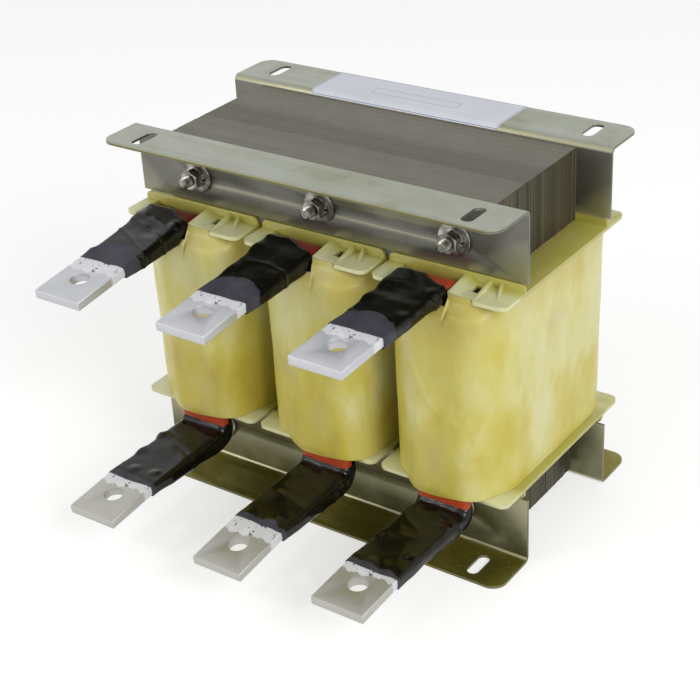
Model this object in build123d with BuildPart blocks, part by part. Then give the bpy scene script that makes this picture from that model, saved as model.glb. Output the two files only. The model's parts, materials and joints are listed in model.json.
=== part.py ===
from build123d import *
from math import cos, radians, sin, tan
import os

# Three phase iron core reactor with aluminium foil coils, in millimetres.
# X runs along the core, -Y is the terminal side and +Z is up.
# The origin lies on the foot plane, under the middle of the core.

# Laminated core
limb_width = 40.0
limb_pitch = 80.0
yoke_height = 40.0
window_height = 114.0
core_depth = 82.5
gap_thickness = 1.5

# Folded clamp angles
clamp_length = 240.0
clamp_web_lift = 4.7
clamp_flange = 31.0
clamp_sheet = 1.5
clamp_bend = 2.0
clamp_corner = 8.0
clamp_recess = 3.2
slot_width = 6.5
slot_length = 17.0
slot_from_end = 19.8
slot_from_core = 17.6

# Clamp bolts, M6
bolt_diameter = 6.0
bolt_projection = 5.3
bolt_tip_chamfer = 0.7
bolt_clearance = 0.4
hex_flats = 10.0
head_height = 4.0
nut_height = 5.0
washer_diameter = 18.0
washer_thickness = 1.6
spring_diameter = 11.8
spring_thickness = 1.6
spring_gap = 1.2
bush_wall = 0.8
bush_clearance = 0.1

# Moulded coil formers
former_clearance = 0.4
former_wall = 1.8
former_flange = 2.0
former_gap = 3.4
former_reach = 20.8
former_end_play = 0.2
former_corner = 4.5
upstand_gap = 0.6
upstand_corner = 3.0
rib_top_width = 2.4
rib_foot_width = 5.9
rib_height = 2.9
plate_width = 18.6
window_width = 5.8
window_margin = 2.5
rail_width = 6.5
rail_setback = 2.0
gusset_thickness = 1.4
gusset_height = 3.4
gusset_inset = 6.5
gusset_swing = 20.0
gusset_run = 12.5

# Foil windings and their outer wrap
winding_end_margin = 0.7
winding_side_margin = 4.9
winding_front_margin = 1.65
winding_back_margin = 4.2
winding_corner = 21.0
winding_clearance = 0.2
wrap_thickness = 1.2
wrap_rounding = 12.0
wrap_clearance = 0.1
wrap_end_play = 0.2

# Flat aluminium leads, bent once where they leave the coil
bar_width = 30.0
bar_thickness = 5.0
bar_bend = 6.5
bar_reach = 96.5
bar_hole = 10.5
bar_hole_from_end = 18.0
bar_corner = 0.8
upper_leg_gap = 1.45
upper_lead_drop = 1.0
upper_lead_x = (-12.8, -11.4, -11.8)
upper_droop = (6.6, 4.6, 2.1)
lower_leg_gap = 0.3
lower_lead_drop = 4.9
lower_lead_x = (5.5, 9.5, 3.5)
lower_droop = (5.6, 6.2, 3.0)

# Red fibre sleeves and black shrink sleeves on the leads
red_wall = 1.1
red_end_gap = 0.3
red_forward = 13.0
red_edge = 1.4
shrink_wall = 1.0
shrink_overlap = 6.0
shrink_shoulder = 7.0
shrink_end = 66.5
shrink_edge = 1.8
lead_clearance = 0.5

# Rating label, folded over the bend of the upper back clamp
label_length = 120.0
label_centre_x = -5.5
label_thickness = 0.2
label_wrap_angle = 75.0

# Heights and planes worked out from the sizes above
core_length = 2 * limb_pitch + limb_width
core_bottom = clamp_recess
window_bottom = core_bottom + yoke_height
window_top = window_bottom + window_height
core_top = window_top + yoke_height
frame_top = core_top + clamp_recess
half_depth = core_depth / 2
web_face = half_depth + clamp_sheet
clamp_web = yoke_height + clamp_recess - clamp_web_lift
slot_pitch_x = clamp_length - 2 * slot_from_end
limb_x = (-limb_pitch, 0.0, limb_pitch)
bolt_z = {"upper": window_top + yoke_height / 2, "lower": core_bottom + yoke_height / 2}
bolt_bore = bolt_diameter + bolt_clearance
bush_diameter = bolt_bore + 2 * bush_wall
core_bolt_hole = bush_diameter + 2 * bush_clearance

former_width = limb_pitch - former_gap
former_half = former_width / 2
tube_in_x = limb_width / 2 + former_clearance
tube_in_y = half_depth + former_clearance
tube_out_x = tube_in_x + former_wall
tube_out_y = tube_in_y + former_wall
flange_y = half_depth + former_reach
top_flange_z = window_top - former_end_play
bottom_flange_z = window_bottom + former_end_play

upstand_height = clamp_web_lift + former_end_play - upstand_gap

upper_lead_z = top_flange_z - upper_lead_drop
lower_lead_z = bottom_flange_z - lower_lead_drop
bend_run = bar_bend * tan(radians(45 + max(upper_droop) / 2))
winding_margin = bend_run + winding_end_margin
winding_bottom = window_bottom + former_flange + winding_margin
winding_top = window_top - former_flange - winding_margin
winding_half_width = former_half - winding_side_margin
winding_front = flange_y - winding_front_margin
winding_back = flange_y - winding_back_margin
wrap_bottom = bottom_flange_z + former_flange + wrap_end_play
wrap_top = top_flange_z - former_flange - wrap_end_play
upper_leg_y = tube_out_y + upper_leg_gap + bar_thickness / 2
lower_leg_y = winding_front + lower_leg_gap + bar_thickness / 2
red_width = bar_width + 2 * red_wall
red_thickness = bar_thickness + 2 * red_wall
shrink_width = red_width + 2 * shrink_wall
shrink_thickness = red_thickness + 2 * shrink_wall
phase_names = ("left", "middle", "right")

os.makedirs("parts", exist_ok=True)


# E shaped lamination stack with three limbs standing on the lower yoke
limb_top = window_top - gap_thickness
with BuildPart() as core_e_stack:
    with BuildSketch(Plane.XZ):
        with Locations((0, core_bottom)):
            Rectangle(core_length, yoke_height, align=(Align.CENTER, Align.MIN))
        with Locations(*[(x, core_bottom) for x in limb_x]):
            Rectangle(limb_width, limb_top - core_bottom, align=(Align.CENTER, Align.MIN))
        with Locations(*[(x, bolt_z["lower"]) for x in limb_x]):
            Circle(core_bolt_hole / 2, mode=Mode.SUBTRACT)
    extrude(amount=half_depth, both=True)
core_e_stack.part.label = "core_e_stack"
export_step(core_e_stack.part, f"parts/{core_e_stack.part.label}.step")

# Straight yoke stack that closes the magnetic path across the limbs
with BuildPart() as core_yoke_stack:
    with BuildSketch(Plane.XZ):
        with Locations((0, window_top)):
            Rectangle(core_length, yoke_height, align=(Align.CENTER, Align.MIN))
        with Locations(*[(x, bolt_z["upper"]) for x in limb_x]):
            Circle(core_bolt_hole / 2, mode=Mode.SUBTRACT)
    extrude(amount=half_depth, both=True)
core_yoke_stack.part.label = "core_yoke_stack"
export_step(core_yoke_stack.part, f"parts/{core_yoke_stack.part.label}.step")

# Pressboard spacers that set the air gap above each limb
with BuildPart() as air_gap_spacers:
    with BuildSketch(Plane.XY.offset(limb_top)):
        with Locations(*[(x, 0) for x in limb_x]):
            Rectangle(limb_width, core_depth)
    extrude(amount=gap_thickness)
air_gap_spacers.part.label = "air_gap_spacers"
export_step(air_gap_spacers.part, f"parts/{air_gap_spacers.part.label}.step")

# Four folded angles: the web clamps a yoke and the flange points outwards
for level, frame_z, inward in (("upper", frame_top, -1), ("lower", 0.0, 1)):
    bolt_places = [(x, bolt_z[level]) for x in limb_x]
    for face, side in (("front", -1), ("back", 1)):
        middle_y = side * (half_depth + clamp_sheet / 2)
        middle_z = frame_z + inward * clamp_sheet / 2
        flange_tip_y = side * (half_depth + clamp_flange)
        web_tip_z = frame_z + inward * clamp_web
        with BuildPart() as clamp:
            with BuildSketch(Plane.YZ):
                with BuildLine():
                    FilletPolyline(
                        (middle_y, web_tip_z),
                        (middle_y, middle_z),
                        (flange_tip_y, middle_z),
                        radius=clamp_bend + clamp_sheet / 2,
                    )
                trace(line_width=clamp_sheet)
            extrude(amount=clamp_length / 2, both=True)
            free_corners = clamp.edges().filter_by(Axis.Z).group_by(Axis.Y)[0 if side < 0 else -1]
            fillet(free_corners, radius=clamp_corner)
            with BuildSketch(Plane.XY.offset(frame_z)):
                with Locations(*[
                    (x, side * (half_depth + slot_from_core))
                    for x in (-slot_pitch_x / 2, slot_pitch_x / 2)
                ]):
                    SlotOverall(slot_length, slot_width, rotation=90)
            extrude(amount=inward * clamp_sheet, mode=Mode.SUBTRACT)
            with BuildSketch(Plane.XZ.offset(-side * half_depth)):
                with Locations(*bolt_places):
                    Circle(bolt_bore / 2)
            extrude(amount=-side * clamp_sheet, mode=Mode.SUBTRACT)
        clamp.part.label = f"{level}_{face}_clamp"
        export_step(clamp.part, f"parts/{clamp.part.label}.step")


# Bolt stack along Y, from the head behind the core to the tip in front
back_washer_y = web_face
head_y = back_washer_y + washer_thickness
front_washer_y = -web_face
spring_y = front_washer_y - washer_thickness
nut_y = spring_y - spring_thickness
bolt_tip_y = nut_y - nut_height - bolt_projection

for level in ("upper", "lower"):
    bolt_places = [(x, bolt_z[level]) for x in limb_x]
    with BuildPart() as clamp_bolts:
        with BuildSketch(Plane.XZ.offset(-head_y)):
            with Locations(*bolt_places):
                Circle(bolt_diameter / 2)
        extrude(amount=head_y - bolt_tip_y)
        chamfer(clamp_bolts.edges().group_by(Axis.Y)[0], length=bolt_tip_chamfer)
        with BuildSketch(Plane.XZ.offset(-head_y)):
            with Locations(*bolt_places):
                RegularPolygon(hex_flats / 2, 6, major_radius=False)
        extrude(amount=-head_height)
    clamp_bolts.part.label = f"{level}_clamp_bolts"
    export_step(clamp_bolts.part, f"parts/{clamp_bolts.part.label}.step")

    with BuildPart() as clamp_nuts:
        with BuildSketch(Plane.XZ.offset(-nut_y)):
            with Locations(*bolt_places):
                RegularPolygon(hex_flats / 2, 6, major_radius=False)
                Circle(bolt_diameter / 2, mode=Mode.SUBTRACT)
        extrude(amount=nut_height)
    clamp_nuts.part.label = f"{level}_clamp_nuts"
    export_step(clamp_nuts.part, f"parts/{clamp_nuts.part.label}.step")

    with BuildPart() as spring_washers:
        with BuildSketch(Plane.XZ.offset(-spring_y)):
            with Locations(*bolt_places):
                Circle(spring_diameter / 2)
                Circle(bolt_bore / 2, mode=Mode.SUBTRACT)
                with Locations((spring_diameter / 2, 0)):
                    Rectangle(spring_diameter, spring_gap, mode=Mode.SUBTRACT)
        extrude(amount=spring_thickness)
    spring_washers.part.label = f"{level}_spring_washers"
    export_step(spring_washers.part, f"parts/{spring_washers.part.label}.step")

    for face, washer_y in (("front", front_washer_y), ("back", back_washer_y + washer_thickness)):
        with BuildPart() as flat_washers:
            with BuildSketch(Plane.XZ.offset(-washer_y)):
                with Locations(*bolt_places):
                    Circle(washer_diameter / 2)
                    Circle(bolt_bore / 2, mode=Mode.SUBTRACT)
            extrude(amount=washer_thickness)
        flat_washers.part.label = f"{level}_{face}_washers"
        export_step(flat_washers.part, f"parts/{flat_washers.part.label}.step")

    with BuildPart() as bolt_bushes:
        with BuildSketch(Plane.XZ):
            with Locations(*bolt_places):
                Circle(bush_diameter / 2)
                Circle(bolt_bore / 2, mode=Mode.SUBTRACT)
        extrude(amount=half_depth, both=True)
    bolt_bushes.part.label = f"{level}_bolt_bushes"
    export_step(bolt_bushes.part, f"parts/{bolt_bushes.part.label}.step")


def leg_outline(centre_x, leg_y, width, thickness):
    """Plan of a flat lead where it stands upright in the coil."""
    return Pos(centre_x, -leg_y) * Rectangle(width, thickness, mode=Mode.PRIVATE)


def tube_outline(centre_x, spare):
    """Plan of the former's square tube, grown by a clearance."""
    width = 2 * (tube_out_x + spare)
    depth = 2 * (tube_out_y + spare)
    corner = former_corner + spare
    return Pos(centre_x, 0) * RectangleRounded(width, depth, corner, mode=Mode.PRIVATE)


def winding_outline(centre_x, spare):
    """Plan of the finished foil winding, grown by a clearance."""
    width = 2 * (winding_half_width + spare)
    depth = winding_front + winding_back + 2 * spare
    middle_y = (winding_back - winding_front) / 2
    corner = winding_corner + spare
    return Pos(centre_x, middle_y) * RectangleRounded(width, depth, corner, mode=Mode.PRIVATE)


def lead_corner(centre_x, leg_y, lead_z, droop, distance):
    """Plane square to the bar, at a distance forward of the corner of its bend."""
    forward = Vector(0, -cos(radians(droop)), -sin(radians(droop)))
    corner = Vector(centre_x, -leg_y, lead_z)
    return Plane(origin=corner + forward * distance, x_dir=(1, 0, 0), z_dir=forward)


def lead_points(leg_y, leg_end_z, lead_z, droop, distance):
    """Corners of a lead's middle line in the YZ plane, leg first."""
    return (
        (-leg_y, leg_end_z),
        (-leg_y, lead_z),
        (-leg_y - distance * cos(radians(droop)), lead_z - distance * sin(radians(droop))),
    )


for phase, name in enumerate(phase_names):
    x = limb_x[phase]
    upper_x = x + upper_lead_x[phase]
    lower_x = x + lower_lead_x[phase]

    # Former: a square tube over the limb with a notched flange at each end
    upper_notch = shrink_width + 2 * lead_clearance
    lower_notch = red_width + 2 * lead_clearance
    rib_left = upper_x + upper_notch / 2
    plate_left = x + former_half - plate_width
    rail_front = flange_y - rail_setback
    window_back = tube_out_y + window_margin
    window_front = rail_front - rail_width
    lower_notch_depth = flange_y - (lower_leg_y - red_thickness / 2 - lead_clearance)
    with BuildPart() as former:
        with BuildSketch(Plane.XY.offset(bottom_flange_z)):
            add(tube_outline(x, 0))
        extrude(amount=top_flange_z - bottom_flange_z)
        for flange_z in (bottom_flange_z, top_flange_z - former_flange):
            with BuildSketch(Plane.XY.offset(flange_z)):
                with Locations((x, 0)):
                    RectangleRounded(former_width, 2 * flange_y, former_corner)
            extrude(amount=former_flange)
        for base_z, towards in ((top_flange_z, 1), (bottom_flange_z, -1)):
            for side in (-1, 1):
                with BuildSketch(Plane.XZ.offset(-side * tube_in_y)) as upstand:
                    with Locations((x, base_z + towards * upstand_height / 2)):
                        Rectangle(former_width, upstand_height)
                    tips = upstand.vertices().group_by(Axis.Y)[-1 if towards > 0 else 0]
                    fillet(tips, radius=min(upstand_corner, upstand_height - upstand_gap))
                extrude(amount=-side * former_wall)
        with BuildSketch(Plane.XY.offset(bottom_flange_z)):
            with Locations((x, 0)):
                Rectangle(2 * tube_in_x, 2 * tube_in_y)
        extrude(amount=top_flange_z - bottom_flange_z, mode=Mode.SUBTRACT)
        # The rail beside the upper lead stands back from the corner plate, whose corner is round
        with BuildSketch(Plane.XY.offset(top_flange_z)):
            with Locations((rib_left, -rail_front)):
                Rectangle(
                    plate_left - rib_left + rail_setback,
                    rail_setback,
                    align=(Align.MIN, Align.MAX),
                )
            with Locations((plate_left + rail_setback, -rail_front)):
                Circle(rail_setback, mode=Mode.SUBTRACT)
        extrude(amount=-former_flange, mode=Mode.SUBTRACT)
        # Open notch for the upper lead, and a window between the rail and the corner plate
        with BuildSketch(Plane.XY.offset(top_flange_z)):
            with Locations((upper_x, -tube_out_y)):
                Rectangle(upper_notch, flange_y, align=(Align.CENTER, Align.MAX))
            with Locations((plate_left, -window_back)):
                Rectangle(window_width, window_front - window_back, align=(Align.MAX, Align.MAX))
        extrude(amount=-former_flange, mode=Mode.SUBTRACT)
        # Shallow notch in the lower flange, where the outer lead goes down past it
        with BuildSketch(Plane.XY.offset(bottom_flange_z)):
            with Locations((lower_x, -flange_y)):
                Rectangle(lower_notch, 2 * lower_notch_depth)
        extrude(amount=former_flange, mode=Mode.SUBTRACT)
        # Rib along the notch: upright beside the lead, sloping down to the window
        with BuildSketch(Plane.XZ.offset(tube_out_y)):
            with BuildLine():
                Polyline(
                    (rib_left, top_flange_z),
                    (rib_left + rib_foot_width, top_flange_z),
                    (rib_left + rib_top_width, top_flange_z + rib_height),
                    (rib_left, top_flange_z + rib_height),
                    close=True,
                )
            make_face()
        extrude(amount=rail_front - tube_out_y)
        # Two gussets brace the upstand from the corner plate
        gusset_foot = flange_y - tube_out_y - gusset_thickness
        for gusset_x, swing, run in (
            (plate_left + gusset_thickness / 2, 0, gusset_foot),
            (plate_left + gusset_inset, gusset_swing, gusset_run),
        ):
            gusset_plane = Plane(
                origin=(gusset_x, -tube_out_y, top_flange_z),
                x_dir=(sin(radians(swing)), -cos(radians(swing)), 0),
                z_dir=(-cos(radians(swing)), -sin(radians(swing)), 0),
            )
            with BuildSketch(gusset_plane):
                with BuildLine():
                    Polyline(
                        (-former_wall / 2, 0),
                        (run, 0),
                        (-former_wall / 2, gusset_height),
                        close=True,
                    )
                make_face()
            extrude(amount=gusset_thickness / 2, both=True)
    former.part.label = f"{name}_coil_former"
    export_step(former.part, f"parts/{former.part.label}.step")

    # Foil winding: turns of aluminium foil wound over the former and the inner lead
    inner_leg = leg_outline(upper_x, upper_leg_y, bar_width, bar_thickness)
    bore_edges = tube_outline(x, winding_clearance).edges() + inner_leg.edges()
    with BuildPart() as winding:
        with BuildSketch(Plane.XY.offset(winding_bottom)):
            add(winding_outline(x, 0))
            make_hull(bore_edges, mode=Mode.SUBTRACT)
        extrude(amount=winding_top - winding_bottom)
    winding.part.label = f"{name}_foil_winding"
    export_step(winding.part, f"parts/{winding.part.label}.step")

    # Wrap: insulating paper drawn tight round the winding and the outer lead
    outer_leg = leg_outline(lower_x, lower_leg_y, red_width, red_thickness)
    wrap_edges = winding_outline(x, wrap_clearance).edges() + outer_leg.edges()
    wrap_face = lower_leg_y + red_thickness / 2 + wrap_thickness
    slope = radians(upper_droop[phase])
    lead_underside = (
        upper_lead_z
        - (wrap_face - upper_leg_y) * tan(slope)
        - shrink_thickness / 2 / cos(slope)
        - lead_clearance
    )
    with BuildPart() as wrap:
        with BuildSketch(Plane.XY.offset(wrap_bottom)):
            make_hull(wrap_edges)
            offset(amount=-wrap_rounding)
            offset(amount=wrap_rounding + wrap_thickness)
            make_hull(wrap_edges, mode=Mode.SUBTRACT)
        extrude(amount=wrap_top - wrap_bottom)
        with BuildSketch(Plane.XZ):
            with Locations((upper_x, lead_underside)):
                Rectangle(upper_notch, window_height, align=(Align.CENTER, Align.MIN))
        extrude(amount=wrap_face, mode=Mode.SUBTRACT)
    wrap.part.label = f"{name}_coil_wrap"
    export_step(wrap.part, f"parts/{wrap.part.label}.step")

    # Leads: a flat bar up through the coil, bent once, with two sleeves over the bend
    for level, lead_x, leg_y, leg_end_z, red_end_z, lead_z, droop in (
        ("upper", upper_x, upper_leg_y, winding_bottom, winding_top + red_end_gap,
         upper_lead_z, upper_droop[phase]),
        ("lower", lower_x, lower_leg_y, winding_top, winding_bottom - red_end_gap,
         lower_lead_z, lower_droop[phase]),
    ):
        rise = 1 if lead_z > leg_end_z else -1
        with BuildPart() as bar:
            with BuildLine(Plane.YZ.offset(lead_x)) as bar_line:
                corners = lead_points(leg_y, leg_end_z, lead_z, droop, bar_reach)
                FilletPolyline(*corners, radius=bar_bend)
            with BuildSketch(Plane((lead_x, -leg_y, leg_end_z), x_dir=(1, 0, 0), z_dir=(0, 0, rise))):
                RectangleRounded(bar_width, bar_thickness, bar_corner)
            sweep(path=bar_line.wire())
            hole_square = lead_corner(lead_x, leg_y, lead_z, droop, bar_reach - bar_hole_from_end)
            hole_plane = Plane(hole_square.origin, x_dir=(1, 0, 0), z_dir=hole_square.y_dir)
            with BuildSketch(hole_plane):
                Circle(bar_hole / 2)
            extrude(amount=bar_thickness, both=True, mode=Mode.SUBTRACT)
        bar.part.label = f"{name}_{level}_terminal_bar"
        export_step(bar.part, f"parts/{bar.part.label}.step")

        with BuildPart() as red_sleeve:
            with BuildLine(Plane.YZ.offset(lead_x)) as red_line:
                corners = lead_points(leg_y, red_end_z, lead_z, droop, red_forward)
                FilletPolyline(*corners, radius=bar_bend)
            with BuildSketch(Plane((lead_x, -leg_y, red_end_z), x_dir=(1, 0, 0), z_dir=(0, 0, rise))):
                RectangleRounded(red_width, red_thickness, red_edge)
            sweep(path=red_line.wire())
            red_body = red_sleeve.part
            add(bar.part, mode=Mode.SUBTRACT)
        red_sleeve.part.label = f"{name}_{level}_fibre_sleeve"
        export_step(red_sleeve.part, f"parts/{red_sleeve.part.label}.step")

        with BuildPart() as shrink_sleeve:
            for distance, spare in (
                (red_forward - shrink_overlap, red_wall),
                (red_forward, red_wall),
                (red_forward + shrink_shoulder, 0),
                (shrink_end, 0),
            ):
                with BuildSketch(lead_corner(lead_x, leg_y, lead_z, droop, distance)):
                    RectangleRounded(
                        bar_width + 2 * (shrink_wall + spare),
                        bar_thickness + 2 * (shrink_wall + spare),
                        shrink_edge,
                    )
            loft(ruled=True)
            add(red_body, mode=Mode.SUBTRACT)
            add(bar.part, mode=Mode.SUBTRACT)
        shrink_sleeve.part.label = f"{name}_{level}_shrink_sleeve"
        export_step(shrink_sleeve.part, f"parts/{shrink_sleeve.part.label}.step")

# Rating label: thin sheet over the flange of the upper back clamp and its bend
outer_bend = clamp_bend + clamp_sheet
bend_y = half_depth + outer_bend
label_z = frame_top + label_thickness / 2
with BuildPart() as rating_label:
    with BuildSketch(Plane.YZ.offset(label_centre_x)):
        with BuildLine():
            CenterArc(
                (bend_y, frame_top - outer_bend),
                radius=outer_bend + label_thickness / 2,
                start_angle=90,
                arc_size=label_wrap_angle,
            )
            Line((bend_y, label_z), (half_depth + clamp_flange, label_z))
        trace(line_width=label_thickness)
    extrude(amount=label_length / 2, both=True)
rating_label.part.label = "rating_label"
export_step(rating_label.part, "parts/rating_label.step")
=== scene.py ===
# %% [markdown]
# # An iron core reactor, dressed for its portrait
# The reactor's solid pieces come from a CAD model and stay where they are. This lesson gives each of them
# its real surface: laminated steel, zinc plated sheet, moulded bobbins, varnished paper, aluminium bar and
# heat shrink sleeve. Some pieces keep the CAD outline and get rounded edges. Others are modelled again with
# Blender's own tools, because a lamination, a thread or a wrinkle is easier to shape here.

# %% Load the fixed frame
import json
from math import asin, ceil, cos, pi, radians, sin, sqrt, tan
from random import Random

import bmesh
import bpy
from mathutils import Matrix, Vector, geometry, noise


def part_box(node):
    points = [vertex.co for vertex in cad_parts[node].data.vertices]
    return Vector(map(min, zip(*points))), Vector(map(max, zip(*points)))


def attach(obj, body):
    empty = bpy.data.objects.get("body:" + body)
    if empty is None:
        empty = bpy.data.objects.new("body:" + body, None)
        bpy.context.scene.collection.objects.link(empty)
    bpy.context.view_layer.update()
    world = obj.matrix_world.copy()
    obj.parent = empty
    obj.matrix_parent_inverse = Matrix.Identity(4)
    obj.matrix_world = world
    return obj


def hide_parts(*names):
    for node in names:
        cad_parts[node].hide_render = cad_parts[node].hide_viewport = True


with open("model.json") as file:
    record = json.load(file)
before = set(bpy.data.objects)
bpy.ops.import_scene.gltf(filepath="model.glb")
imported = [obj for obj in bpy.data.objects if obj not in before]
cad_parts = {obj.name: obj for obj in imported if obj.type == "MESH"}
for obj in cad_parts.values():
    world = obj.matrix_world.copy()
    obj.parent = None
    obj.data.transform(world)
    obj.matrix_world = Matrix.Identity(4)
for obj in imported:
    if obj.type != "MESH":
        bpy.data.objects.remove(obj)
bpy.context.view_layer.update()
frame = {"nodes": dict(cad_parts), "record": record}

MM = 0.001

# %% [markdown]
# ## Small tools
# A Principled shader wants linear colour, while a colour picked from a chart is sRGB, so one function turns
# a hex value into linear numbers. A second gives a node its settings and links, and a third adds one. The
# others do what a modeller's hand does between two operators: pick an object or some faces, join pieces,
# apply a modifier. Nearly all round things here lie along Y, as the bolts do, so one function makes rods.


# %% Colours and shader nodes
def linear(hex_colour):
    """Linear RGBA of an sRGB hex colour."""
    channels = [int(hex_colour[i : i + 2], 16) / 255 for i in (1, 3, 5)]
    return [c / 12.92 if c <= 0.04045 else ((c + 0.055) / 1.055) ** 2.4 for c in channels] + [1.0]


def set_up(node, settings):
    """Gives a node's properties and inputs their values: numbers, hex colours, or what a node gives."""
    for key, value in settings.items():
        if isinstance(value, bpy.types.Node):
            value = next(output for output in value.outputs if output.enabled)
        if key == "stops":
            ramp = node.color_ramp
            while len(ramp.elements) < len(value):
                ramp.elements.new(0.5)
            for element, (place, colour) in zip(ramp.elements, value):
                element.position = place
                element.color = linear(colour)
        elif isinstance(value, bpy.types.NodeSocket):
            node.id_data.links.new(value, node.inputs[key])
        elif isinstance(key, str) and hasattr(node, key):
            setattr(node, key, value)
        else:
            node.inputs[key].default_value = linear(value) if isinstance(value, str) else value


def add_node(tree, kind, settings=None):
    """Adds a shader node with its settings and links."""
    node = tree.nodes.new("ShaderNode" + kind)
    set_up(node, settings or {})
    return node


def new_material(name):
    """A node material with its tree and its Principled shader."""
    material = bpy.data.materials.new(name)
    material.use_nodes = True
    return material, material.node_tree, material.node_tree.nodes["Principled BSDF"]


def per_metre(size_mm):
    """Texture scale that makes a pattern's cells this many millimetres wide."""
    return 1 / (size_mm * MM)


# %% Picking, editing and finishing
merge_distance = 0.002 * MM
flat_angle = radians(0.5)
default_crease = 35


def pick(piece):
    """Makes one object the only selected and active one."""
    bpy.ops.object.select_all(action="DESELECT")
    piece.select_set(True)
    bpy.context.view_layer.objects.active = piece


def open_edit(piece):
    """Enters edit mode with nothing selected."""
    pick(piece)
    bpy.ops.object.mode_set(mode="EDIT")
    bpy.ops.mesh.select_all(action="DESELECT")


def close_edit():
    """Leaves edit mode."""
    bpy.ops.object.mode_set(mode="OBJECT")


def face_outwards():
    """Turns all the faces in edit mode outwards."""
    bpy.ops.mesh.select_all(action="SELECT")
    bpy.ops.mesh.normals_make_consistent(inside=False)


def select_where(kind, test):
    """Selects only the verts, edges or faces in edit mode that pass a test."""
    bpy.ops.mesh.select_mode(type={"verts": "VERT", "edges": "EDGE", "faces": "FACE"}[kind])
    bpy.ops.mesh.select_all(action="DESELECT")
    shape = bmesh.from_edit_mesh(bpy.context.edit_object.data)
    chosen = [element for element in getattr(shape, kind) if test(element)]
    for element in chosen:
        element.select_set(True)
    bmesh.update_edit_mesh(bpy.context.edit_object.data)
    return len(chosen)


def middle_of(edge):
    """Midpoint of an edge in edit mode."""
    return (edge.verts[0].co + edge.verts[1].co) / 2


def settle(piece):
    """Moves an object's place, turn and scale into its mesh."""
    pick(piece)
    bpy.ops.object.transform_apply(location=True, rotation=True, scale=True)


def use_modifier(piece, kind, **settings):
    """Adds a modifier and applies it."""
    pick(piece)
    modifier = piece.modifiers.new(kind.lower(), kind)
    for key, value in settings.items():
        setattr(modifier, key, value)
    bpy.ops.object.modifier_apply(modifier=modifier.name)


def smooth(piece, angle=default_crease):
    """Smooth shading with creases where faces meet at more than an angle."""
    pick(piece)
    bpy.ops.object.shade_smooth_by_angle(angle=radians(angle))


def round_edges(piece, width, segments, angle):
    """Bevels the edges where faces meet at more than an angle."""
    use_modifier(piece, "BEVEL", width=width, segments=segments, limit_method="ANGLE",
                 angle_limit=radians(angle))


def cut_with(piece, tool, operation):
    """Applies a Boolean with a tool, which is used up."""
    use_modifier(piece, "BOOLEAN", object=tool, operation=operation, solver="EXACT")
    bpy.data.objects.remove(tool)


def joined(pieces):
    """Joins pieces into the first of them."""
    bpy.ops.object.select_all(action="DESELECT")
    for piece in pieces:
        piece.select_set(True)
    bpy.context.view_layer.objects.active = pieces[0]
    bpy.ops.object.join()
    return pieces[0]


def rod(sides, radius, front, back, z, x=0.0):
    """A cylinder or prism along Y between a front and a back depth."""
    bpy.ops.mesh.primitive_cylinder_add(vertices=sides, radius=radius, depth=back - front,
                                        rotation=(pi / 2, 0, 0), location=(x, (front + back) / 2, z))
    piece = bpy.context.object
    settle(piece)
    return piece


def keep_on_points(piece, name, kind, values):
    """Keeps a FLOAT or FLOAT_VECTOR with each point of a mesh, for its material to read."""
    store = piece.data.attributes.new(name, kind, "POINT")
    store.data.foreach_set("value" if kind == "FLOAT" else "vector", values)


def hand_over(piece, name, node_name, material):
    """Names a finished piece, dresses it, and puts it in the place of a CAD node."""
    piece.name = name
    piece.data.name = name
    piece.data.materials.clear()
    piece.data.materials.append(material)
    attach(piece, "root")
    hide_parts(node_name)
    piece.data.calc_loop_triangles()
    print(f"{name}: {len(piece.data.loop_triangles)} triangles")


def cad_copy(node_name):
    """A merged copy of a CAD node's mesh, with flat faces made whole again."""
    piece = bpy.data.objects.new(node_name + "_copy", frame["nodes"][node_name].data.copy())
    bpy.context.collection.objects.link(piece)
    open_edit(piece)
    bpy.ops.mesh.select_all(action="SELECT")
    bpy.ops.mesh.customdata_custom_splitnormals_clear()
    bpy.ops.mesh.remove_doubles(threshold=merge_distance)
    bpy.ops.mesh.dissolve_limited(angle_limit=flat_angle)
    close_edit()
    return piece


# %% [markdown]
# ## Camera
# The camera stands in front and to the right of the reactor and a little above it, with a long lens.
# It is turned by a few degrees about its own axis, as a hand held camera is.

# %% Camera
camera_azimuth = radians(36.57)
camera_elevation = radians(29.20)
camera_roll = radians(-3.34)
camera_distance = 892.3 * MM
camera_target = Vector((-18.3 * MM, 0, 67.3 * MM))
sensor_width = 36.0
frame_pixels = 700
focal_pixels = 1582.7

away = Vector((
    sin(camera_azimuth) * cos(camera_elevation),
    -cos(camera_azimuth) * cos(camera_elevation),
    sin(camera_elevation),
))
level_right = (-away).cross(Vector((0, 0, 1))).normalized()
level_up = level_right.cross(-away)
right = level_right * cos(camera_roll) + level_up * sin(camera_roll)
up = level_up * cos(camera_roll) - level_right * sin(camera_roll)
turn = Matrix((right, up, away)).transposed().to_4x4()
bpy.ops.object.camera_add()
camera = bpy.context.object
camera.name = "camera"
camera.matrix_world = Matrix.Translation(camera_target + away * camera_distance) @ turn
camera.data.sensor_width = sensor_width
camera.data.lens = focal_pixels / frame_pixels * sensor_width
camera.data.clip_start = 0.05
bpy.context.scene.camera = camera
print(f"lens {camera.data.lens:.1f} mm")

# %% [markdown]
# ## Floor and light
# A product is easiest to read on white. The floor keeps the soft shadow, and it shows as white because it
# also shines a little towards the camera and in mirror reflections, without adding light to the object.
# One large lamp at the right gives the coils their bright side and leaves the terminal side in half shade.
# A small one in front gives the black sleeves and the varnish their glints.

# %% Floor and room
scene = bpy.context.scene
scene.view_settings.view_transform = "Standard"
floor_size = 6.0
floor_glow = 0.5
room_level = 0.44


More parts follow.
